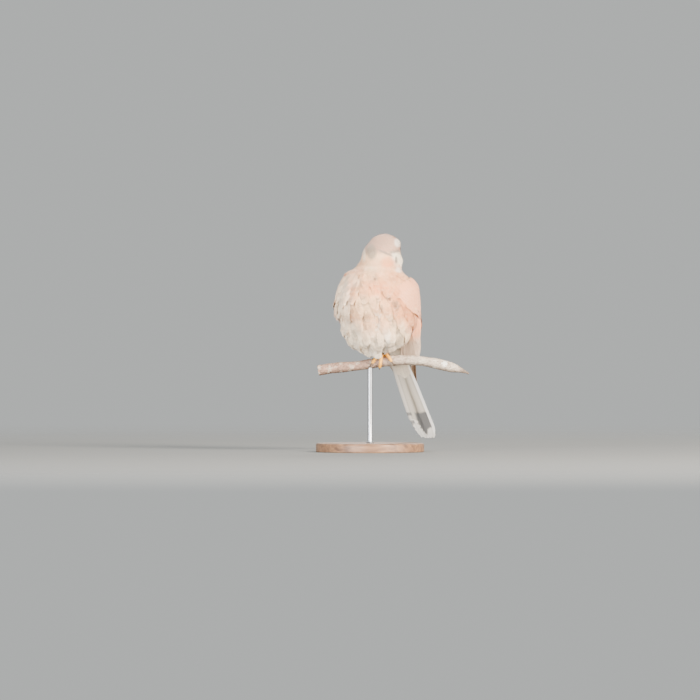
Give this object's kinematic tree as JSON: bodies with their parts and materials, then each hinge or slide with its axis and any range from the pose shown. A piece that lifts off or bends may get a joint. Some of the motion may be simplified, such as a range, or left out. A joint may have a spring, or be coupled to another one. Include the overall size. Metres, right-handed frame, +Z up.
{
  "type": "still model of a common kestrel",
  "caption": "Life-size still model of a fluffed-up kestrel resting on one leg, head turned over its back, tail hanging behind a cut length of branch on a plain round stand.",
  "frame": {"origin": "middle of the base's underside, on the axis of the rod", "axes": "+Z up, +X along the branch towards its broken tip, -Y out of the bird's breast towards the front"},
  "size_m": [0.2041, 0.1924, 0.2907],
  "materials": {
    "plumage_body": "soft body feathers, buff with dark drops",
    "plumage_head": "fine grey head feathers",
    "plumage_wing": "chestnut wing feathers with dark spots",
    "plumage_tail": "grey tail feathers with a black band and a pale tip",
    "eye": "wet, dark brown",
    "bill_horn": "satin blue-grey horn with a yellow cere",
    "foot_skin": "scaly yellow skin with black claws",
    "bark": "rough grey-brown bark",
    "stand_wood": "satin varnished dark wood",
    "stand_steel": "brushed"
  },
  "bodies": {
    "root": {"stand_base": "stand_wood", "stand_rod": "stand_steel", "perch": "bark", "torso": "plumage_body", "neck": "plumage_body", "head": "plumage_head", "eye_left": "eye", "eye_right": "eye", "bill_upper": "bill_horn", "bill_lower": "bill_horn", "wing_left": "plumage_wing", "wing_right": "plumage_wing", "tail": "plumage_tail", "leg_left": "foot_skin", "foot_left": "foot_skin", "foot_right": "foot_skin"}
  },
  "joints": []
}
